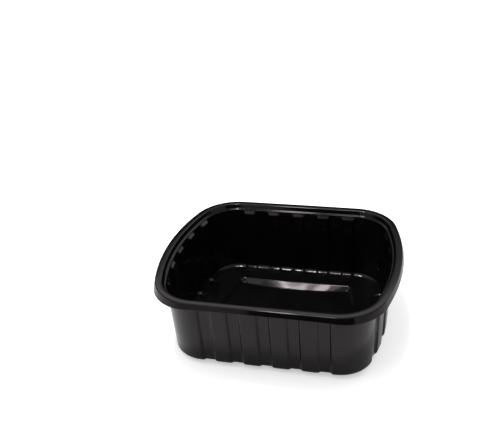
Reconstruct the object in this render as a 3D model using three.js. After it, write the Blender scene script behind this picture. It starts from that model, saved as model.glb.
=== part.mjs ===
// Disposable ready-meal tray in thin black plastic, open at the top and empty.
//
// Seen from above it is a rounded rectangle whose long sides are nearly straight
// and whose short sides bow outwards. From the outside inwards it has:
//   - a flat rim with a short skirt that leans outwards from its outer edge,
//   - a short step down to a narrow ledge,
//   - a leaning wall with five ribs on every side, which stand into the tray and
//     show as grooves outside, and whose upper ends slope down from the ledge,
//   - a rounded foot, where every rib ends in a gently sloping toe, a flat band of
//     floor, and a central panel one step lower, which is the face that the tray
//     stands on.
//
// Everything is one sheet of even thickness. It is built as a stack of closed
// loops, all with the same number of points: from the middle of the floor up the
// inside, over the rim, and back down the outside to the middle of the base.
//
// Units are millimetres. +X runs along the long sides, +Z is up, and the origin
// is the centre of the base, on the surface that the tray stands on.
import * as THREE from 'three';

// ---- driving dimensions ----------------------------------------------------

const LENGTH = 190;              // over the flat rim, along X, without the skirt
const WIDTH = 158.2;             // over the flat rim, along Y
const HEIGHT = 67;               // from the standing face to the rim
const SHEET = 0.8;               // thickness of the plastic

const LONG_SIDE_RADIUS = 5800;   // bow of the long sides of the rim
const SHORT_SIDE_RADIUS = 177;   // bow of the short sides of the rim
const CORNER_RADIUS = 36.7;

const RIM_WIDTH = 5.6;           // flat top of the rim
const RIM_EDGE_RADIUS = 0.7;
const SKIRT_DROP = 3.9;          // the skirt's lower edge below the rim
const SKIRT_CORNER_DROP = 1.8;   // what the corners add to that
const SKIRT_FLARE = 1.4;         // how far the skirt's foot stands out

const LEDGE_DROP = 3.9;          // the ledge below the rim
const LEDGE_INSET = 6.3;         // foot of the step wall, in from the rim's edge
const LEDGE_EDGE_INSET = 7.8;    // where the ledge rounds over into the wall

const WALL_TOP_INSET = 8.5;      // inner face of the wall just below the ledge
const WALL_TOP_DROP = 5.2;
const LONG_DRAFT = 3.2;          // lean of the long walls, degrees
const SHORT_DRAFT = 2.2;         // lean of the short walls, degrees

const RIBS_PER_SIDE = 5;
const RIB_PITCH = 22.4;
const RIB_DEPTH = 2.0;           // near the ledge
const RIB_LOW_DEPTH = 1.3;       // near the floor
const RIB_FOOT_WIDTH = 11.4;     // across its root, on the inside
const RIB_CREST_WIDTH = 8.4;
const RIB_SLOPE_DROP = 7.1;      // lower end of the sloping rib end, below the rim

const FOOT_RADIUS = 3.9;         // inside radius between wall and floor
const RIB_FOOT_RADIUS = 2.4;     // inside radius between a rib and its toe
const TOE_RISE = 1.3;            // upper end of a rib's toe above the floor band
const TOE_INSET = 20.4;          // lower end of the toes, in from the rim's edge

const PANEL_STEP = 3.5;          // the panel lies this much below the floor band
const PANEL_HALF_LENGTH = 58;
const PANEL_HALF_WIDTH = 48;
const PANEL_SIDE_RADIUS = 150;   // bow of the panel's short sides
const PANEL_CORNER_RADIUS = 5;
const PANEL_RUN = 2.7;           // plan width of the step round the panel
const PANEL_LONG_RUN = 8;        // the same at the middle of the long sides

const CORNER_STEPS = 9;          // facets round each corner
const FOOT_STEPS = 4;            // facets round the foot

const BLACK = new THREE.Color(0.012, 0.012, 0.013);

// ---- outlines ---------------------------------------------------------------

// A rounded rectangle made of arcs that meet without a kink: one arc on each
// side and one at each corner. Only the first quadrant is worked out.
function threeArcOutline(halfLength, halfWidth, cornerRadius, longRadius, shortRadius) {
  const longCentre = new THREE.Vector2(0, halfWidth - longRadius);
  const shortCentre = new THREE.Vector2(halfLength - shortRadius, 0);
  const toLong = longRadius - cornerRadius;
  const toShort = shortRadius - cornerRadius;
  const between = new THREE.Vector2().subVectors(shortCentre, longCentre);
  const distance = between.length();
  const along = (toLong ** 2 - toShort ** 2 + distance ** 2) / (2 * distance);
  const across = Math.sqrt(toLong ** 2 - along ** 2);
  between.normalize();
  const cornerCentre = new THREE.Vector2(
    longCentre.x + between.x * along + between.y * across,
    longCentre.y + between.y * along - between.x * across,
  );
  const longJoint = Math.atan2(cornerCentre.y - longCentre.y, cornerCentre.x - longCentre.x);
  const shortJoint = Math.atan2(cornerCentre.y - shortCentre.y, cornerCentre.x - shortCentre.x);
  return {
    longCentre, shortCentre, cornerCentre, longJoint, shortJoint,
    longRadius, shortRadius, cornerRadius,
  };
}

// The point of an outline at a station, moved inwards by inset. A station names
// an arc and a place on it from -1 to 1 (sides) or 0 to 1 (corners), together
// with the signs of the quadrant that a corner lies in.
function outlinePoint(outline, station, inset) {
  const { arc, place, sx, sy } = station;
  let centre, radius, angle;
  if (arc === 'long') {
    centre = outline.longCentre;
    radius = outline.longRadius;
    angle = Math.PI / 2 - place * (Math.PI / 2 - outline.longJoint);
  } else if (arc === 'short') {
    centre = outline.shortCentre;
    radius = outline.shortRadius;
    angle = place * outline.shortJoint;
  } else {
    centre = outline.cornerCentre;
    radius = outline.cornerRadius;
    angle = outline.shortJoint + place * (outline.longJoint - outline.shortJoint);
  }
  const reach = radius - inset;
  return new THREE.Vector2(
    sx * (centre.x + reach * Math.cos(angle)),
    sy * (centre.y + reach * Math.sin(angle)),
  );
}

const rimOutline = threeArcOutline(
  LENGTH / 2, WIDTH / 2, CORNER_RADIUS, LONG_SIDE_RADIUS, SHORT_SIDE_RADIUS);
const panelOutline = threeArcOutline(
  PANEL_HALF_LENGTH, PANEL_HALF_WIDTH, PANEL_CORNER_RADIUS, LONG_SIDE_RADIUS, PANEL_SIDE_RADIUS);

// ---- stations round the tray --------------------------------------------------

// Along a side: for every rib its two root edges (rib = 0) and its two crest
// edges (rib = 1). long tells how much a station counts as one of a long side: 1
// there, 0 on a short side, and in between at the corners. skin moves the edges to
// the outer face, where the flanks of a rib lie a little closer to its middle.
function sideStations(arc, sx, sy, halfLengthOfArc, skin, reverse) {
  const root = RIB_FOOT_WIDTH / 2 - skin;
  const crest = RIB_CREST_WIDTH / 2 - skin;
  const long = arc === 'long' ? 1 : 0;
  const stations = [];
  for (let k = 0; k < RIBS_PER_SIDE; k += 1) {
    const middle = (k - (RIBS_PER_SIDE - 1) / 2) * RIB_PITCH;
    for (const [shift, rib] of [[-root, 0], [-crest, 1], [crest, 1], [root, 0]]) {
      stations.push({ arc, sx, sy, rib, long, place: (middle + shift) / halfLengthOfArc });
    }
  }
  return reverse ? stations.reverse() : stations;
}

function cornerStations(sx, sy, reverse) {
  const stations = [];
  for (let k = 0; k <= CORNER_STEPS; k += 1) {
    const place = k / CORNER_STEPS;
    const long = place * place * (3 - 2 * place);
    stations.push({ arc: 'corner', sx, sy, rib: 0, long, place });
  }
  return reverse ? stations.reverse() : stations;
}

// All stations, counter-clockwise from the right-hand short side.
function allStations(skin) {
  const { shortJoint, longJoint, longRadius, shortRadius } = rimOutline;
  const wallInset = WALL_TOP_INSET + RIB_DEPTH;
  const longHalf = longRadius * (Math.PI / 2 - longJoint);
  const shortHalf = (shortRadius - wallInset) * shortJoint;
  return [
    ...sideStations('short', 1, 1, shortHalf, skin, false),
    ...cornerStations(1, 1, false),
    ...sideStations('long', 1, 1, longHalf, skin, true),
    ...cornerStations(-1, 1, true),
    ...sideStations('short', -1, 1, shortHalf, skin, true),
    ...cornerStations(-1, -1, false),
    ...sideStations('long', 1, -1, longHalf, skin, false),
    ...cornerStations(1, -1, true),
  ];
}

const flankWidth = (RIB_FOOT_WIDTH - RIB_CREST_WIDTH) / 2;
const flankAngle = Math.atan2(RIB_DEPTH, flankWidth);
const innerStations = allStations(0);
const outerStations = allStations(SHEET * Math.tan(flankAngle / 2));

// ---- loops ---------------------------------------------------------------------

const bandHeight = PANEL_STEP + SHEET;         // upper face of the floor band

// Lean of the wall at a station.
function draftAt({ long }) {
  return THREE.MathUtils.degToRad(SHORT_DRAFT + long * (LONG_DRAFT - SHORT_DRAFT));
}

// How far in the wall's face lies at a station and a height, with its rib.
function wallInset(station, height, skin) {
  const draft = draftAt(station);
  const drop = HEIGHT - WALL_TOP_DROP - height;
  const ribDepth = RIB_DEPTH + (RIB_LOW_DEPTH - RIB_DEPTH) * drop / HEIGHT;
  return WALL_TOP_INSET + drop * Math.tan(draft) - skin / Math.cos(draft)
    + station.rib * ribDepth;
}

// A loop parallel to the rim. insetAt and heightAt give its place at a station.
function rimLoop(stations, insetAt, heightAt) {
  return stations.map((station) => {
    const p = outlinePoint(rimOutline, station, insetAt(station));
    return new THREE.Vector3(p.x, p.y, heightAt(station));
  });
}

const plainLoop = (stations, inset, height) => rimLoop(stations, () => inset, () => height);

const wallLoop = (stations, height, skin) => rimLoop(
  stations, (station) => wallInset(station, height, skin), () => height);

// The rounded foot in section, as (inset, height). turn runs from 0 at the wall to
// 1 where the foot meets the floor or the toe of a rib.
function footPoint(station, turn, skin) {
  const floor = bandHeight - skin;
  const height = floor + station.rib * TOE_RISE;
  const corner = new THREE.Vector2(wallInset(station, height, skin), height);
  const draft = draftAt(station);
  const upWall = new THREE.Vector2(-Math.sin(draft), Math.cos(draft));
  const alongToe = new THREE.Vector2(TOE_INSET, floor).sub(corner).normalize();
  const radius = FOOT_RADIUS + station.rib * (RIB_FOOT_RADIUS - FOOT_RADIUS) + skin;
  const half = upWall.angleTo(alongToe) / 2;
  const centre = upWall.clone().add(alongToe).normalize()
    .multiplyScalar(radius / Math.sin(half)).add(corner);
  return upWall.clone().multiplyScalar(radius / Math.tan(half)).add(corner)
    .rotateAround(centre, turn * (Math.PI - 2 * half));
}

const footLoop = (stations, turn, skin) => rimLoop(
  stations,
  (station) => footPoint(station, turn, skin).x,
  (station) => footPoint(station, turn, skin).y);

// What a station has of the deeper skirt of the corners: 0 amid the sides, and
// nearly 1 amid the corners. It grows sooner along the short sides.
function cornerShare({ arc, place }) {
  const shortEnd = 0.6;
  const longEnd = 0.3;
  if (arc === 'corner') {
    return shortEnd + (longEnd - shortEnd) * place + 2 * place * (1 - place);
  }
  return (arc === 'long' ? longEnd : shortEnd) * Math.abs(place) ** 3;
}

// The lower edge of the skirt. It leans outwards, so it stands out more where it
// hangs deeper. inset tells the inner edge from the outer one.
function skirtLoop(stations, inset) {
  const drop = (station) => SKIRT_DROP + SKIRT_CORNER_DROP * cornerShare(station);
  return rimLoop(
    stations,
    (station) => inset - SKIRT_FLARE * drop(station) / SKIRT_DROP,
    (station) => HEIGHT - drop(station));
}

// A loop round the panel. share runs from 0 at the top of its step to 1 at the
// bottom. The step is steep at the corners and the short sides, and runs out
// flatter towards the middle of each long side.
function panelLoop(stations, share, height, spread) {
  return stations.map((station) => {
    const bulge = station.arc === 'long' ? 1 - station.place ** 2 : 0;
    const run = PANEL_RUN + (PANEL_LONG_RUN - PANEL_RUN) * bulge;
    const p = outlinePoint(panelOutline, station, share * run - spread);
    return new THREE.Vector3(p.x, p.y, height);
  });
}

// Four loops that round the step's two edges a little.
function panelStep(stations, skin) {
  const top = bandHeight - skin;
  const bottom = top - PANEL_STEP;
  const spread = skin * 0.4;
  const soft = 0.16;
  return [
    panelLoop(stations, 1 + soft, bottom, spread),
    panelLoop(stations, 1 - soft, bottom + soft * PANEL_STEP * 0.6, spread),
    panelLoop(stations, soft, top - soft * PANEL_STEP * 0.6, spread),
    panelLoop(stations, -soft, top, spread),
  ];
}

function insideLoops() {
  const at = innerStations;
  const loops = [...panelStep(at, 0), plainLoop(at, TOE_INSET, bandHeight)];
  for (let k = FOOT_STEPS; k >= 0; k -= 1) loops.push(footLoop(at, k / FOOT_STEPS, 0));
  loops.push(
    wallLoop(at, HEIGHT / 2, 0),
    // lower end of the sloping rib ends, then their upper end at the ledge
    wallLoop(at, HEIGHT - RIB_SLOPE_DROP, 0),
    rimLoop(at, ({ rib }) => WALL_TOP_INSET - 0.2 * rib, () => HEIGHT - WALL_TOP_DROP),
    plainLoop(at, LEDGE_EDGE_INSET + 0.3, HEIGHT - LEDGE_DROP - 0.35),
    plainLoop(at, LEDGE_EDGE_INSET - 0.5, HEIGHT - LEDGE_DROP),
    plainLoop(at, LEDGE_INSET + 0.5, HEIGHT - LEDGE_DROP + 0.1),
    plainLoop(at, LEDGE_INSET, HEIGHT - LEDGE_DROP + 0.7),
    plainLoop(at, RIM_WIDTH + 0.1, HEIGHT - RIM_EDGE_RADIUS),
    plainLoop(at, RIM_WIDTH - 0.5, HEIGHT),
  );
  return loops;
}

function rimLoops() {
  const at = innerStations;
  const r = RIM_EDGE_RADIUS;
  return [
    plainLoop(at, r, HEIGHT),
    plainLoop(at, r * 0.3, HEIGHT - r * 0.3),
    plainLoop(at, 0, HEIGHT - r),
    skirtLoop(at, 0),
    skirtLoop(at, SHEET),
    plainLoop(at, SHEET, HEIGHT - SHEET - 0.3),
    plainLoop(at, SHEET + 0.4, HEIGHT - SHEET),
  ];
}

function outsideLoops() {
  const at = outerStations;
  const loops = [
    plainLoop(at, RIM_WIDTH - SHEET, HEIGHT - SHEET),
    plainLoop(at, LEDGE_INSET - SHEET, HEIGHT - LEDGE_DROP),
    plainLoop(at, LEDGE_INSET - SHEET + 0.5, HEIGHT - LEDGE_DROP - SHEET + 0.1),
    plainLoop(at, LEDGE_EDGE_INSET - SHEET, HEIGHT - LEDGE_DROP - SHEET - 0.2),
    rimLoop(at, ({ rib }) => WALL_TOP_INSET - SHEET - 0.15 * rib,
      () => HEIGHT - WALL_TOP_DROP - SHEET),
    wallLoop(at, HEIGHT - RIB_SLOPE_DROP - SHEET, SHEET),
    wallLoop(at, HEIGHT / 2, SHEET),
  ];
  for (let k = 0; k <= FOOT_STEPS; k += 1) loops.push(footLoop(at, k / FOOT_STEPS, SHEET));
  loops.push(plainLoop(at, TOE_INSET, bandHeight - SHEET));
  return [...loops, ...panelStep(at, SHEET).reverse()];
}

// ---- surface --------------------------------------------------------------------

// Joins neighbouring loops with strips and closes the first and the last loop
// with a fan to their middle.
function closedSurface(loops) {
  const count = loops[0].length;
  const positions = [];
  const indices = [];
  for (const loop of loops) for (const p of loop) positions.push(p.x, p.y, p.z);
  const fan = (row, height, flip) => {
    const middle = positions.length / 3;
    positions.push(0, 0, height);
    for (let i = 0; i < count; i += 1) {
      const a = row * count + i;
      const b = row * count + ((i + 1) % count);
      indices.push(middle, flip ? b : a, flip ? a : b);
    }
  };
  fan(0, loops[0][0].z, false);
  for (let row = 0; row + 1 < loops.length; row += 1) {
    for (let i = 0; i < count; i += 1) {
      const j = (i + 1) % count;
      const a = row * count + i;
      const b = row * count + j;
      const c = (row + 1) * count + j;
      const d = (row + 1) * count + i;
      indices.push(a, d, b, b, d, c);
    }
  }
  fan(loops.length - 1, loops.at(-1)[0].z, true);
  const geometry = new THREE.BufferGeometry();
  geometry.setAttribute('position', new THREE.Float32BufferAttribute(positions, 3));
  geometry.setIndex(indices);
  geometry.computeVertexNormals();
  return geometry;
}

// ---- the tray ---------------------------------------------------------------------

const tray = new THREE.Mesh(
  closedSurface([...insideLoops(), ...rimLoops(), ...outsideLoops()]),
  new THREE.MeshStandardMaterial({ color: BLACK, roughness: 0.18, metalness: 0 }),
);
tray.name = 'tray';

const container = new THREE.Group();
container.add(tray);

export default container;
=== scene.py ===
"""The looks of a disposable food tray in glossy black sheet, with a plain pale studio round it.

The tray is one formed sheet. Its mesh starts as a ring on the floor of the tray and is
extruded ring by ring: out over the floor, up the inside of the wall, over the rim, and back
down the outside to the face that it stands on. Lengths are in metres.
"""
import math
from collections import namedtuple
from functools import lru_cache

import bmesh
import bpy
from bpy.props import FloatProperty, FloatVectorProperty, IntProperty, PointerProperty
from mathutils import Matrix, Vector


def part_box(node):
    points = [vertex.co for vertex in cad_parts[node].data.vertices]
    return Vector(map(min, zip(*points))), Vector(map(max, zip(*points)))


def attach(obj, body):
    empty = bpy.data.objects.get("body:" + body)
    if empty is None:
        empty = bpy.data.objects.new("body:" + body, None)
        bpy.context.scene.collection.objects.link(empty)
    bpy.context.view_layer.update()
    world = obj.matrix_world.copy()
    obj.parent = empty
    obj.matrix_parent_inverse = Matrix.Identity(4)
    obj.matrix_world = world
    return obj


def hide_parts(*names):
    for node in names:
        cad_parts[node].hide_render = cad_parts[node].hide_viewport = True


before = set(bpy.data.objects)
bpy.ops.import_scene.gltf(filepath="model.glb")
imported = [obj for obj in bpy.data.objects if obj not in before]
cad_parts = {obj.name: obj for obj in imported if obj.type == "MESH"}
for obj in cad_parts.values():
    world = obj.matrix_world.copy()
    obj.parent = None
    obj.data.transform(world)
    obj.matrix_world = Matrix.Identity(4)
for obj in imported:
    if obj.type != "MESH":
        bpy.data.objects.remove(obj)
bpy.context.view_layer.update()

bl_info = {
    "name": "Food Tray",
    "version": (1, 0, 0),
    "blender": (4, 5, 0),
    "location": "View3D > Sidebar > Tray",
    "description": "Builds a disposable food tray of thin glossy sheet and a pale studio for it",
    "category": "Add Mesh",
}

MM = 0.001
TRAY_HIGH = Vector(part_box("tray")[1])

PHOTO_WIDTH_PX = 489
SENSOR_WIDTH_MM = 36.0
CAMERA_AIM = Vector((-17.7 * MM, 50.1 * MM, TRAY_HIGH.z))


# ---- sizes and colours that a user would change -----------------------------------------

def length_property(name, description, millimetres):
    return FloatProperty(
        name=name, description=description, default=millimetres * MM, min=0.0, unit="LENGTH")


class TrayShape(bpy.types.PropertyGroup):
    """Sizes of the tray. The outer ones come from the tray part in model.glb."""
    skirt_flare: length_property(
        "Skirt flare", "How far the skirt's lower edge stands out past the rim", 1.4)
    sheet: length_property("Sheet", "Thickness of the sheet", 0.8)
    corner_radius: length_property("Corner radius", "Radius of the rim's corners", 36.7)
    long_side_radius: length_property("Long side radius", "Bow of the long sides", 5800)
    short_side_radius: length_property("Short side radius", "Bow of the short sides", 177)
    rim_width: length_property("Rim width", "Flat width of the rim", 5.6)
    skirt_drop: length_property("Skirt drop", "Depth of the skirt below the rim", 3.9)
    skirt_corner_drop: length_property(
        "Skirt corner drop", "What the corners add to the skirt's depth", 1.8)
    ledge_drop: length_property("Ledge drop", "Depth of the ledge below the rim", 3.9)
    ledge_inset: length_property("Ledge inset", "Foot of the step to the ledge", 6.35)
    wall_inset: length_property("Wall inset", "Top of the wall, in from the rim's edge", 8.4)
    wall_drop: length_property("Wall drop", "Top of the wall below the rim", 5.0)
    long_draft: FloatProperty(
        name="Long draft", description="Lean of the long walls", default=math.radians(3.2),
        subtype="ANGLE")
    short_draft: FloatProperty(
        name="Short draft", description="Lean of the short walls", default=math.radians(2.2),
        subtype="ANGLE")
    ribs_per_side: IntProperty(
        name="Ribs per side", description="Ribs on each of the four sides", default=5, min=1)
    rib_pitch: length_property("Rib pitch", "Distance from rib to rib", 22.4)
    rib_depth: length_property("Rib depth", "How far a rib stands into the tray", 2.0)
    rib_foot_width: length_property("Rib foot width", "Width of a rib at its root", 11.4)
    rib_crest_width: length_property("Rib crest width", "Width of a rib's flat crest", 8.4)
    rib_slope_drop: length_property(
        "Rib slope drop", "Lower end of the sloping rib end below the rim", 7.1)
    rib_low_depth: length_property("Rib low depth", "Depth of a rib at its foot", 1.3)
    rib_toe_rise: length_property("Rib toe rise", "Height of the sloping toe of a rib", 1.3)
    foot_radius: length_property("Foot radius", "Inner radius between wall and floor", 3.9)
    rib_foot_radius: length_property("Rib foot radius", "The same at a rib's toe", 2.4)
    panel_step: length_property("Panel step", "Depth of the floor panel", 3.5)
    panel_half_length: length_property("Panel half length", "Along the tray", 58)
    panel_half_width: length_property("Panel half width", "Across the tray", 48)
    panel_side_radius: length_property("Panel side radius", "Bow of its short sides", 150)
    panel_corner_radius: length_property("Panel corner radius", "At its upper edge", 5)
    panel_run: length_property("Panel run", "Plan width of the step round the panel", 2.7)
    panel_long_run: length_property("Panel long run", "The same amid the long sides", 8)


class TrayFinish(bpy.types.PropertyGroup):
    """Colour and gloss of the sheet."""
    colour: FloatVectorProperty(
        name="Colour", description="Colour of the sheet", subtype="COLOR",
        default=(0.0014, 0.0014, 0.0015), min=0.0, max=1.0)
    hazy_colour: FloatVectorProperty(
        name="Hazy colour", description="Colour where the sheet is slightly hazy",
        subtype="COLOR", default=(0.0026, 0.0026, 0.0028), min=0.0, max=1.0)
    roughness: FloatProperty(
        name="Roughness", description="Gloss of the sheet", default=0.10, min=0.0, max=1.0)
    roughness_spread: FloatProperty(
        name="Roughness spread", description="How much the gloss varies over the sheet",
        default=0.04, min=0.0, max=1.0)
    specular: FloatProperty(
        name="Specular", description="Strength of the reflections seen head-on", default=0.22,
        min=0.0, max=1.0)
    tint: FloatVectorProperty(
        name="Tint", description="Tint of the reflections seen head-on", subtype="COLOR",
        default=(1.0, 0.88, 0.95), min=0.0, max=1.0)
    wave_depth: length_property("Wave depth", "Unevenness of the formed sheet", 0.05)
    grain_depth: length_property("Grain depth", "Fine grain of the sheet", 0.006)


class TrayStudio(bpy.types.PropertyGroup):
    """Floor, lights and camera. The lights' brightness is the radiance that a mirror shows."""
    floor_colour: FloatVectorProperty(
        name="Floor colour", description="Colour of the floor", subtype="COLOR",
        default=(0.9, 0.9, 0.9), min=0.0, max=1.0)
    sky: FloatProperty(
        name="Sky", description="Brightness of the sky", default=0.75, min=0.0)
    backdrop: FloatProperty(
        name="Backdrop", description="Brightness of the panel behind", default=0.9, min=0.0)
    side: FloatProperty(
        name="Side", description="Brightness of the panel behind on the right", default=1.0,
        min=0.0)
    fill: FloatProperty(
        name="Fill", description="Brightness of the large light that only the floor shows",
        default=0.1, min=0.0)
    floor_glow: FloatProperty(
        name="Floor glow", description="What lifts the floor to white in the picture alone",
        default=0.43, min=0.0)
    overhead: FloatProperty(
        name="Overhead", description="Brightness of the softbox above", default=1.0, min=0.0)
    softbox: FloatProperty(
        name="Softbox", description="Brightness of the softbox above the front", default=4.0,
        min=0.0)
    strip_left: FloatProperty(
        name="Left strip", description="Brightness of the left strip above", default=108.0,
        min=0.0)
    strip_right: FloatProperty(
        name="Right strip", description="Brightness of the right strip above", default=27.0,
        min=0.0)
    camera_azimuth: FloatProperty(
        name="Camera azimuth", description="Angle of the camera from the front",
        default=math.radians(14.22), subtype="ANGLE")
    camera_elevation: FloatProperty(
        name="Camera elevation", description="Angle of the camera above the horizon",
        default=math.radians(29.13), subtype="ANGLE")
    camera_roll: FloatProperty(
        name="Camera roll", description="Tilt of the camera", default=math.radians(-3.29),
        subtype="ANGLE")
    camera_distance: length_property("Camera distance", "From the point it aims at", 564.1)
    focal_length: FloatProperty(
        name="Focal length", description="In millimetres", default=47.8, min=1.0)
    centre_shift_px: FloatProperty(
        name="Centre shift", description="Lens axis right of the picture's middle, in pixels",
        default=29.0)


# ---- outlines seen from above -------------------------------------------------------------

# A place on an outline: the arc it lies on, how far along it (-1 to 1 on a side, 0 to 1 on a
# corner), the signs of its quadrant, the share of a rib's full depth there (0 to 1), and how
# much the place counts as a long side (0 on a short side to 1).
Station = namedtuple("Station", "arc place sign_x sign_y rib long")


class Outline:
    """A rounded rectangle made of arcs that meet without a kink."""

    def __init__(self, half_length, half_width, corner_radius, long_radius, short_radius):
        long_centre = Vector((0, half_width - long_radius))
        short_centre = Vector((half_length - short_radius, 0))
        to_long = long_radius - corner_radius
        to_short = short_radius - corner_radius
        between = short_centre - long_centre
        distance = between.length
        along = (to_long ** 2 - to_short ** 2 + distance ** 2) / (2 * distance)
        across = math.sqrt(to_long ** 2 - along ** 2)
        between.normalize()
        corner_centre = long_centre + between * along
        corner_centre += Vector((between.y, -between.x)) * across
        to_corner = corner_centre - long_centre
        self.long_joint = math.atan2(to_corner.y, to_corner.x)
        to_corner = corner_centre - short_centre
        self.short_joint = math.atan2(to_corner.y, to_corner.x)
        self.long_half = long_radius * (math.pi / 2 - self.long_joint)
        self.arcs = {
            "long": (long_centre, long_radius),
            "short": (short_centre, short_radius),
            "corner": (corner_centre, corner_radius),
        }

    def point(self, station, inset, height):
        centre, radius = self.arcs[station.arc]
        if station.arc == "long":
            angle = math.pi / 2 - station.place * (math.pi / 2 - self.long_joint)
        elif station.arc == "short":
            angle = station.place * self.short_joint
        else:
            angle = self.short_joint + station.place * (self.long_joint - self.short_joint)
        reach = radius - inset
        return Vector((
            station.sign_x * (centre.x + reach * math.cos(angle)),
            station.sign_y * (centre.y + reach * math.sin(angle)),
            height))


# ---- bent lines with softened corners -----------------------------------------------------

# A corner of a bent line: where it is, how far its rounding reaches along both legs, and the
# number of steps that round it. A line's two ends have no steps.
Corner = namedtuple("Corner", "x y reach steps", defaults=(0.0, 0))
STRAIGHT_TURN = 0.01       # a bend below this, in radians, counts as straight


def soften(corners):
    """The points of a bent line whose corners are rounded by near-circular curves."""
    points = []
    for index, corner in enumerate(corners):
        here = Vector((corner.x, corner.y))
        if not corner.steps:
            points.append(here)
            continue
        before, after = corners[index - 1], corners[index + 1]
        back = (Vector((before.x, before.y)) - here).normalized()
        ahead = (Vector((after.x, after.y)) - here).normalized()
        turn = math.pi - back.angle(ahead)
        handle = 2 / 3 if turn < STRAIGHT_TURN else 4 / 3 * math.tan(turn / 4) / math.tan(turn / 2)
        start = here + back * corner.reach
        end = here + ahead * corner.reach
        start_handle = start.lerp(here, handle)
        end_handle = end.lerp(here, handle)
        for step in range(corner.steps + 1):
            t = step / corner.steps
            s = 1 - t
            points.append(
                start * s ** 3 + start_handle * 3 * s * s * t
                + end_handle * 3 * s * t * t + end * t ** 3)
    return points


# ---- the tray's stations and sections -------------------------------------------------------

CORNER_STEPS = 22          # facets round each corner of the tray
ROOT_REACH = 1.0 * MM      # rounding of the ribs' upright edges at their roots
CREST_REACH = 0.7 * MM     # and at their crests
RIB_EDGE_STEPS = 4
ROUND_STEPS = 4            # facets of each small rounding in the sheet's section
FOOT_STEPS = 9             # facets of the foot
BETWEEN_RIBS = (-0.1, 0.1)  # stations between two ribs, in pitches from the middle there

# How far the roundings of the sheet's section reach along their legs.
SMALL_ROUND = 0.3 * MM     # the smallest, on the outer face
EDGE_ROUND = 0.6 * MM      # the rim's outer edge, the ledge's inner edge, the ribs' slopes
LEDGE_ROUND = 0.45 * MM    # where the step meets the ledge
RIM_INNER_ROUND = 0.55 * MM
WALL_TOP_ROUND = 0.35 * MM
UNDER_LEDGE_ROUND = 0.5 * MM
PANEL_ROUND = 0.9 * MM     # both edges of the step round the floor panel
SKIRT_CUT_ROUND = 0.12 * MM

BAND_STARTS = (16 * MM, 12 * MM)  # first places on the floor band, in from the wall's top
BAND_ROUND = 1.0 * MM
MID_WALL_REACH = 8 * MM    # the wall's faces run on over this much amid its height
RIB_END_GAP = 0.1 * MM     # a rib's sloping end dips this far behind the wall's top
STEP_LEAN = 0.1 * MM       # the step's top stands this far out from the flat rim's width
LEDGE_LIP = 0.25 * MM      # the ledge's inner edge stands this far out from the wall's top
UNDER_LEDGE_LIP = 0.2 * MM
PANEL_FLAT = 0.4 * MM      # flat strip of the floor panel inside the step's rounding
BAND_FLAT = 2.4 * MM       # flat strip of the floor band round the step
PANEL_SPREAD = 0.4         # share of the sheet that the panel's underside stands out by


def rib_plan(shape, skin):
    """(distance from the middle, share of the depth) across one rib."""
    flank = math.atan2(shape.rib_depth, (shape.rib_foot_width - shape.rib_crest_width) / 2)
    shift = skin * math.tan(flank / 2)
    root = shape.rib_foot_width / 2 - shift
    crest = shape.rib_crest_width / 2 - shift
    depth = shape.rib_depth
    end = root + 2 * ROOT_REACH
    line = soften([
        Corner(-end, 0),
        Corner(-root, 0, ROOT_REACH, RIB_EDGE_STEPS),
        Corner(-crest, depth, CREST_REACH, RIB_EDGE_STEPS),
        Corner(0, depth, 0.3 * crest, 1),
        Corner(crest, depth, CREST_REACH, RIB_EDGE_STEPS),
        Corner(root, 0, ROOT_REACH, RIB_EDGE_STEPS),
        Corner(end, 0),
    ])
    return [(p.x, p.y / depth) for p in line[1:-1]]


def side_stations(shape, arc, half_arc, sign_x, sign_y, skin):
    """Stations along one side, from its negative end to its positive end."""
    plan = rib_plan(shape, skin)
    long = float(arc == "long")
    stations = []
    for rib in range(shape.ribs_per_side):
        middle = (rib - (shape.ribs_per_side - 1) / 2) * shape.rib_pitch
        if rib:
            between = middle - shape.rib_pitch / 2
            for offset in BETWEEN_RIBS:
                place = (between + offset * shape.rib_pitch) / half_arc
                stations.append(Station(arc, place, sign_x, sign_y, 0.0, long))
        for offset, share in plan:
            place = (middle + offset) / half_arc
            stations.append(Station(arc, place, sign_x, sign_y, share, long))
    return stations


def corner_stations(sign_x, sign_y):
    """Stations round one corner, from the short side to the long side. The last station of
    the short side, which lies a little past its end, stands for the first one here."""
    places = [step / CORNER_STEPS for step in range(1, CORNER_STEPS + 1)]
    return [
        Station("corner", place, sign_x, sign_y, 0.0, place * place * (3 - 2 * place))
        for place in places]


def all_stations(shape, rim, skin):
    """Stations all round the tray, counter-clockwise from the right-hand short side."""
    deep = shape.wall_inset + shape.rib_depth
    short_half = (shape.short_side_radius - deep) * rim.short_joint

    def side(arc, half_arc, sign_x, sign_y):
        return side_stations(shape, arc, half_arc, sign_x, sign_y, skin)

    return (
        side("short", short_half, 1, 1) + corner_stations(1, 1)
        + side("long", rim.long_half, 1, 1)[::-1] + corner_stations(-1, 1)[::-1]
        + side("short", short_half, -1, 1)[::-1] + corner_stations(-1, -1)
        + side("long", rim.long_half, 1, -1) + corner_stations(1, -1)[::-1])


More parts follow.
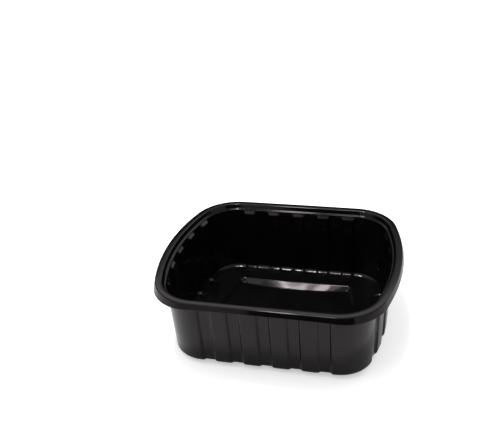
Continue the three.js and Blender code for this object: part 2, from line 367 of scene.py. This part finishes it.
def wall_section(shape, rib, long, skin):
    """From the floor band up the wall to just under the ledge. rib and long are as a station
    has them. skin is 0 on the inside of the sheet and its thickness on the outside."""
    floor = shape.panel_step + shape.sheet - skin
    foot = floor + rib * shape.rib_toe_rise
    middle = TRAY_HIGH.z / 2
    slope_end = TRAY_HIGH.z - shape.rib_slope_drop - skin
    wall_top = TRAY_HIGH.z - shape.wall_drop - skin
    draft = shape.short_draft + long * (shape.long_draft - shape.short_draft)

    def inset(height):
        """How far in the wall's face lies at a height."""
        drop = TRAY_HIGH.z - shape.wall_drop - height
        depth = shape.rib_depth + (shape.rib_low_depth - shape.rib_depth) * drop / TRAY_HIGH.z
        return (shape.wall_inset + drop * math.tan(draft) - skin / math.cos(draft)
                + rib * depth)

    radius = shape.foot_radius + rib * (shape.rib_foot_radius - shape.foot_radius) + skin
    reach = radius * math.tan((math.pi / 2 - draft) / 2)
    return [
        Corner(shape.wall_inset + BAND_STARTS[0], floor),
        Corner(shape.wall_inset + BAND_STARTS[1], floor, BAND_ROUND, ROUND_STEPS),
        Corner(inset(foot), foot, reach, FOOT_STEPS),
        Corner(inset(middle), middle, MID_WALL_REACH, 1),
        Corner(inset(slope_end), slope_end, EDGE_ROUND, ROUND_STEPS),
        Corner(inset(wall_top) - rib * (shape.rib_depth + RIB_END_GAP), wall_top,
               WALL_TOP_ROUND, ROUND_STEPS),
    ]


def inside_section(shape, rib, long):
    """(inset, height) of the inner face, from the floor band to the top of the rim."""
    top = TRAY_HIGH.z
    ledge = top - shape.ledge_drop
    return soften(wall_section(shape, rib, long, 0.0) + [
        Corner(shape.wall_inset - LEDGE_LIP, ledge, EDGE_ROUND, ROUND_STEPS),
        Corner(shape.ledge_inset, ledge, LEDGE_ROUND, ROUND_STEPS),
        Corner(shape.rim_width - STEP_LEAN, top, RIM_INNER_ROUND, ROUND_STEPS),
        Corner(shape.rim_width / 2, top),
    ])


def corner_share(station):
    """What a station has of the deeper skirt of the corners: 0 amid the sides, and nearly 1
    amid the corners. It grows sooner along the short sides."""
    short_end, long_end = 0.6, 0.3
    place = station.place
    if station.arc == "corner":
        return short_end + (long_end - short_end) * place + 2 * place * (1 - place)
    return (long_end if station.arc == "long" else short_end) * abs(place) ** 3


FLAT_SKIRT = (0.24, 0.9)   # the skirt's face is flat between these shares of its depth


def rim_section(shape, corner):
    """The rim and its skirt, from the top of the rim to its underside. corner is the station's
    share of a corner. The skirt stands out more where it hangs deeper."""
    top = TRAY_HIGH.z
    drop = shape.skirt_drop + corner * shape.skirt_corner_drop
    flare = shape.skirt_flare * drop / shape.skirt_drop
    flat_part = [
        Corner(-share * flare, top - share * drop) for share in FLAT_SKIRT]
    return soften([
        Corner(shape.rim_width / 2, top),
        Corner(0, top, EDGE_ROUND, ROUND_STEPS + 1),
        *flat_part,
        Corner(-flare, top - drop, SKIRT_CUT_ROUND, 2),
        Corner(shape.sheet - flare, top - drop, SKIRT_CUT_ROUND, 2),
        Corner(shape.sheet, top - shape.sheet, SMALL_ROUND, ROUND_STEPS),
        Corner(shape.rim_width / 2, top - shape.sheet),
    ])[1:]


def outside_section(shape, rib, long):
    """The outer face, from the underside of the rim to the underside of the floor band."""
    top = TRAY_HIGH.z
    ledge = top - shape.ledge_drop - shape.sheet
    upper = [
        Corner(shape.rim_width / 2, top - shape.sheet),
        Corner(shape.rim_width - shape.sheet, top - shape.sheet, SMALL_ROUND, ROUND_STEPS),
        Corner(shape.ledge_inset - shape.sheet, ledge, UNDER_LEDGE_ROUND, ROUND_STEPS),
        Corner(shape.wall_inset - shape.sheet - UNDER_LEDGE_LIP, ledge, SMALL_ROUND,
               ROUND_STEPS),
    ]
    return soften(upper + wall_section(shape, rib, long, shape.sheet)[::-1])[1:]


def panel_section(shape, run, skin):
    """(inset from the panel's outline, height) over the step round the floor panel, outwards."""
    top = shape.panel_step + shape.sheet - skin
    bottom = top - shape.panel_step
    spread = PANEL_SPREAD * skin
    return soften([
        Corner(run + PANEL_ROUND + PANEL_FLAT - spread, bottom),
        Corner(run - spread, bottom, PANEL_ROUND, ROUND_STEPS),
        Corner(-spread, top, PANEL_ROUND, ROUND_STEPS),
        Corner(-BAND_FLAT - spread, top),
    ])


def rings_of(outline, stations, section_at):
    """Rings of points round an outline. section_at gives a station's section."""
    columns = [
        [outline.point(station, p.x, p.y) for p in section_at(station)] for station in stations]
    return [list(ring) for ring in zip(*columns)]


def tray_rings(shape):
    """All rings, from the middle of the floor over the rim to the middle of the base."""
    rim = Outline(
        TRAY_HIGH.x - shape.skirt_flare, TRAY_HIGH.y - shape.skirt_flare, shape.corner_radius,
        shape.long_side_radius, shape.short_side_radius)
    panel = Outline(
        shape.panel_half_length, shape.panel_half_width, shape.panel_corner_radius,
        shape.long_side_radius, shape.panel_side_radius)
    inner = all_stations(shape, rim, 0.0)
    outer = all_stations(shape, rim, shape.sheet)

    def step_section(skin):
        def section(station):
            bulge = 1 - station.place ** 2 if station.arc == "long" else 0.0
            run = shape.panel_run + (shape.panel_long_run - shape.panel_run) * bulge
            return panel_section(shape, run, skin)
        return section

    inside = lru_cache(lambda rib, long: inside_section(shape, rib, long))
    outside = lru_cache(lambda rib, long: outside_section(shape, rib, long))
    edge = lru_cache(lambda corner: rim_section(shape, corner))
    return (
        rings_of(panel, inner, step_section(0.0))
        + rings_of(rim, inner, lambda station: inside(station.rib, station.long))
        + rings_of(rim, inner, lambda station: edge(corner_share(station)))
        + rings_of(rim, outer, lambda station: outside(station.rib, station.long))
        + rings_of(panel, outer, step_section(shape.sheet))[::-1])


# ---- modelling helpers ------------------------------------------------------------------------

SMOOTH_ANGLE = math.radians(50)  # edges that turn more than this stay sharp


def place_ring(obj, ring):
    """Puts each selected vertex where the ring has the station that the vertex carries."""
    mesh = bmesh.from_edit_mesh(obj.data)
    station = mesh.verts.layers.int["station"]
    for vertex in mesh.verts:
        if vertex.select:
            vertex.co = ring[vertex[station]]
    bmesh.update_edit_mesh(obj.data, loop_triangles=False, destructive=False)


def extruded_rings(name, rings):
    """A closed body: a circle shaped to the first ring, extruded through all the others, with
    its first and last ring filled."""
    bpy.ops.object.select_all(action="DESELECT")
    bpy.ops.mesh.primitive_circle_add(vertices=len(rings[0]), radius=TRAY_HIGH.y)
    obj = bpy.context.object
    obj.name = name
    obj.data.name = name
    bpy.ops.object.mode_set(mode="EDIT")
    bpy.ops.mesh.select_mode(type="VERT")
    bpy.ops.mesh.select_all(action="SELECT")
    mesh = bmesh.from_edit_mesh(obj.data)
    station = mesh.verts.layers.int.new("station")
    for index, vertex in enumerate(mesh.verts):
        vertex[station] = index
    place_ring(obj, rings[0])
    for ring in rings[1:]:
        bpy.ops.mesh.extrude_region_move()
        place_ring(obj, ring)
    bpy.ops.mesh.select_all(action="DESELECT")
    bpy.ops.mesh.select_non_manifold()
    bpy.ops.mesh.fill_holes(sides=0)
    bpy.ops.mesh.select_all(action="DESELECT")
    bpy.ops.mesh.select_face_by_sides(number=4, type="GREATER")
    bpy.ops.mesh.poke()
    bpy.ops.mesh.select_all(action="SELECT")
    bpy.ops.mesh.normals_make_consistent(inside=False)
    mesh = bmesh.from_edit_mesh(obj.data)
    mesh.verts.layers.int.remove(mesh.verts.layers.int["station"])
    bpy.ops.object.mode_set(mode="OBJECT")
    bpy.ops.object.shade_smooth_by_angle(angle=SMOOTH_ANGLE)
    return obj


# ---- materials ----------------------------------------------------------------------------------

# Scale and detail of the three noises over the sheet.
HAZE_NOISE = (35, 4)
WAVE_NOISE = (28, 1)
GRAIN_NOISE = (900, 2)
NOISE_LOW, NOISE_HIGH = 0.3, 0.7  # the range that nearly all of a noise lies in


def new_material(name):
    """A node material and its shader."""
    material = bpy.data.materials.new(name)
    material.use_nodes = True
    return material, material.node_tree.nodes["Principled BSDF"]


def noise_texture(tree, coordinates, scale, detail):
    noise = tree.nodes.new("ShaderNodeTexNoise")
    noise.inputs["Scale"].default_value = scale
    noise.inputs["Detail"].default_value = detail
    tree.links.new(coordinates, noise.inputs["Vector"])
    return noise.outputs["Fac"]


def spread_value(tree, source, low, high):
    """A noise, spread so that nearly all of it runs from low to high."""
    spread = tree.nodes.new("ShaderNodeMapRange")
    spread.inputs["From Min"].default_value = NOISE_LOW
    spread.inputs["From Max"].default_value = NOISE_HIGH
    spread.inputs["To Min"].default_value = low
    spread.inputs["To Max"].default_value = high
    tree.links.new(source, spread.inputs["Value"])
    return spread.outputs["Result"]


def glossy_black_sheet(finish):
    """Glossy black sheet: nearly black, with a soft gloss that varies a little, the slow
    waves that forming leaves and a fine grain."""
    material, shader = new_material("glossy_black_sheet")
    tree = material.node_tree
    place = tree.nodes.new("ShaderNodeTexCoord").outputs["Object"]
    haze = noise_texture(tree, place, *HAZE_NOISE)
    wave = noise_texture(tree, place, *WAVE_NOISE)
    grain = noise_texture(tree, place, *GRAIN_NOISE)

    colour = tree.nodes.new("ShaderNodeMix")
    colour.data_type = "RGBA"
    colour.inputs["A"].default_value = (*finish.colour, 1)
    colour.inputs["B"].default_value = (*finish.hazy_colour, 1)
    tree.links.new(spread_value(tree, haze, 0, 1), colour.inputs["Factor"])
    tree.links.new(colour.outputs["Result"], shader.inputs["Base Color"])

    low = finish.roughness - finish.roughness_spread / 2
    high = finish.roughness + finish.roughness_spread / 2
    tree.links.new(spread_value(tree, haze, low, high), shader.inputs["Roughness"])

    normal = None
    for height, depth in ((wave, finish.wave_depth), (grain, finish.grain_depth)):
        bump = tree.nodes.new("ShaderNodeBump")
        bump.inputs["Distance"].default_value = depth
        tree.links.new(height, bump.inputs["Height"])
        if normal:
            tree.links.new(normal, bump.inputs["Normal"])
        normal = bump.outputs["Normal"]
    tree.links.new(normal, shader.inputs["Normal"])
    shader.inputs["IOR"].default_value = 1.5
    shader.inputs["Specular IOR Level"].default_value = finish.specular
    shader.inputs["Specular Tint"].default_value = (*finish.tint, 1)
    return material


def pale_floor(studio):
    """Matt and pale. It glows a little for the camera alone."""
    material, shader = new_material("pale_floor")
    shader.inputs["Base Color"].default_value = (*studio.floor_colour, 1)
    shader.inputs["Roughness"].default_value = 0.9
    shader.inputs["Specular IOR Level"].default_value = 0.0
    shader.inputs["Emission Color"].default_value = (1, 1, 1, 1)
    tree = material.node_tree
    lift = tree.nodes.new("ShaderNodeMath")
    lift.operation = "MULTIPLY"
    lift.inputs[1].default_value = studio.floor_glow
    tree.links.new(tree.nodes.new("ShaderNodeLightPath").outputs["Is Camera Ray"], lift.inputs[0])
    tree.links.new(lift.outputs["Value"], shader.inputs["Emission Strength"])
    return material


# ---- operators ----------------------------------------------------------------------------------

class AddTray(bpy.types.Operator):
    """Builds the tray from its sizes, in place of the plain solid"""
    bl_idname = "mesh.add_food_tray"
    bl_label = "Add food tray"

    def execute(self, context):
        scene = context.scene
        tray = extruded_rings("food_tray", tray_rings(scene.tray_shape))
        tray.data.materials.append(glossy_black_sheet(scene.tray_finish))
        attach(tray, "root")
        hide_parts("tray")
        return {"FINISHED"}


# A flat light: its name, the studio setting with its brightness, its place, the point that it
# faces, its width and height, and whether the tray mirrors it.
PanelLight = namedtuple("PanelLight", "name setting place target width height mirrored")

PANEL_LIGHTS = (
    PanelLight("backdrop_light", "backdrop", (0.4, 1.9, 2.08), (0.4, 0, 2.08), 3.8, 1.2, True),
    PanelLight("side_light", "side", (1.3, 1.7, 0.85), (0, 0, 0.1), 1.7, 0.9, True),
    PanelLight(
        "overhead_light", "overhead", (-0.75, -0.55, 1.3), (-0.75, -0.55, 0), 1.0, 1.0, True),
    PanelLight(
        "strip_light_left", "strip_left", (-0.235, 0.08, 1.3), (-0.235, 0.08, 0), 0.09, 0.33,
        True),
    PanelLight(
        "strip_light_right", "strip_right", (-0.08, 0.08, 1.3), (-0.08, 0.08, 0), 0.09, 0.33,
        True),
    PanelLight(
        "front_softbox", "softbox", (-0.12, -0.33, 1.3), (-0.12, -0.33, 0), 0.3, 0.46, True),
    PanelLight("fill_light", "fill", (0, 0, 1.6), (0, 0, 0), 3.0, 3.0, False),
)


def add_panel_light(light, brightness):
    """Adds a flat light that shows that brightness in a mirror."""
    bpy.ops.object.light_add(type="AREA", location=light.place)
    lamp = bpy.context.object
    lamp.name = light.name
    facing = Vector(light.target) - Vector(light.place)
    lamp.rotation_euler = facing.to_track_quat("-Z", "Y").to_euler()
    lamp.data.shape = "RECTANGLE"
    lamp.data.size = light.width
    lamp.data.size_y = light.height
    lamp.data.energy = brightness * math.pi * light.width * light.height
    lamp.visible_camera = False
    lamp.visible_glossy = light.mirrored


def add_camera(studio):
    """The photo's camera: its angles, its lens and the place that it aims at on the rim."""
    azimuth, elevation = studio.camera_azimuth, studio.camera_elevation
    back = Vector((
        math.sin(azimuth) * math.cos(elevation),
        -math.cos(azimuth) * math.cos(elevation),
        math.sin(elevation)))
    level = Vector((math.cos(azimuth), math.sin(azimuth), 0))
    turn = Matrix.Rotation(studio.camera_roll, 3, back)
    right = turn @ level
    up = back.cross(right)
    place = Matrix((right, up, back)).transposed().to_4x4()
    place.translation = CAMERA_AIM + back * studio.camera_distance
    bpy.ops.object.camera_add()
    camera = bpy.context.object
    camera.name = "photo_camera"
    camera.matrix_world = place
    camera.data.sensor_width = SENSOR_WIDTH_MM
    camera.data.lens = studio.focal_length
    camera.data.shift_x = -studio.centre_shift_px / PHOTO_WIDTH_PX
    camera.data.clip_start = 0.01
    return camera


CARD_PLACE = (0.192, -0.7, 0.13)
CARD_WIDTH, CARD_HEIGHT = 0.716, 0.26


def add_dark_card():
    """The dark card in front that the skirt mirrors."""
    bpy.ops.mesh.primitive_plane_add(
        size=1, location=CARD_PLACE, rotation=(math.pi / 2, 0, 0))
    card = bpy.context.object
    card.name = "dark_card"
    card.scale = (CARD_WIDTH, CARD_HEIGHT, 1)
    card.visible_camera = False
    card.visible_shadow = False
    material, shader = new_material("dark_card")
    shader.inputs["Base Color"].default_value = (0, 0, 0, 1)
    shader.inputs["Specular IOR Level"].default_value = 0.0
    card.data.materials.append(material)


# Towards this direction the sky is bright. It points up, forwards and a little to the right.
SKY_AXIS = (0.15, -0.5, 1.0)
SKY_DARK, SKY_BRIGHT = 0.03, 0.15  # how far along that axis the fade begins and ends


def studio_world(studio):
    """An even sky that fades to a dark horizon behind the tray. To the camera it is all pale."""
    world = bpy.data.worlds.new("studio_world")
    world.use_nodes = True
    tree = world.node_tree
    background = tree.nodes["Background"]
    background.inputs["Color"].default_value = (1, 1, 1, 1)
    along = tree.nodes.new("ShaderNodeVectorMath")
    along.operation = "DOT_PRODUCT"
    along.inputs[1].default_value = SKY_AXIS
    direction = tree.nodes.new("ShaderNodeTexCoord").outputs["Generated"]
    tree.links.new(direction, along.inputs[0])
    fade = tree.nodes.new("ShaderNodeMapRange")
    fade.inputs["From Min"].default_value = SKY_DARK
    fade.inputs["From Max"].default_value = SKY_BRIGHT
    fade.inputs["To Min"].default_value = 0.0
    fade.inputs["To Max"].default_value = studio.sky
    tree.links.new(along.outputs["Value"], fade.inputs["Value"])
    brighter = tree.nodes.new("ShaderNodeMath")
    brighter.operation = "MAXIMUM"
    seen = tree.nodes.new("ShaderNodeLightPath").outputs["Is Camera Ray"]
    tree.links.new(fade.outputs["Result"], brighter.inputs[0])
    tree.links.new(seen, brighter.inputs[1])
    tree.links.new(brighter.outputs["Value"], background.inputs["Strength"])
    return world


FLOOR_SIZE = 8


class SetUpStudio(bpy.types.Operator):
    """Adds the floor, the lights and the camera"""
    bl_idname = "scene.set_up_tray_studio"
    bl_label = "Set up studio"

    def execute(self, context):
        scene = context.scene
        studio = scene.tray_studio
        bpy.ops.object.select_all(action="DESELECT")
        bpy.ops.mesh.primitive_plane_add(size=FLOOR_SIZE)
        floor = context.object
        floor.name = "studio_floor"
        floor.data.materials.append(pale_floor(studio))

        for light in PANEL_LIGHTS:
            add_panel_light(light, getattr(studio, light.setting))
        add_dark_card()
        scene.world = studio_world(studio)
        scene.camera = add_camera(studio)
        scene.view_settings.view_transform = "Standard"
        return {"FINISHED"}


class TrayPanel(bpy.types.Panel):
    """Lists the tray's sizes and finish, and the studio"""
    bl_label = "Food tray"
    bl_idname = "VIEW3D_PT_food_tray"
    bl_space_type = "VIEW_3D"
    bl_region_type = "UI"
    bl_category = "Tray"

    def draw(self, context):
        scene = context.scene
        for operator, group in (
                (AddTray, scene.tray_shape),
                (AddTray, scene.tray_finish),
                (SetUpStudio, scene.tray_studio)):
            box = self.layout.box()
            for name in group.bl_rna.properties.keys():
                if name not in {"rna_type", "name"}:
                    box.prop(group, name)
            box.operator(operator.bl_idname)


CLASSES = (TrayShape, TrayFinish, TrayStudio, AddTray, SetUpStudio, TrayPanel)


def register():
    for cls in CLASSES:
        bpy.utils.register_class(cls)
    bpy.types.Scene.tray_shape = PointerProperty(type=TrayShape)
    bpy.types.Scene.tray_finish = PointerProperty(type=TrayFinish)
    bpy.types.Scene.tray_studio = PointerProperty(type=TrayStudio)


def unregister():
    del bpy.types.Scene.tray_studio
    del bpy.types.Scene.tray_finish
    del bpy.types.Scene.tray_shape
    for cls in reversed(CLASSES):
        bpy.utils.unregister_class(cls)


def main():
    register()
    bpy.ops.mesh.add_food_tray()
    bpy.ops.scene.set_up_tray_studio()


if __name__ == "__main__":
    main()
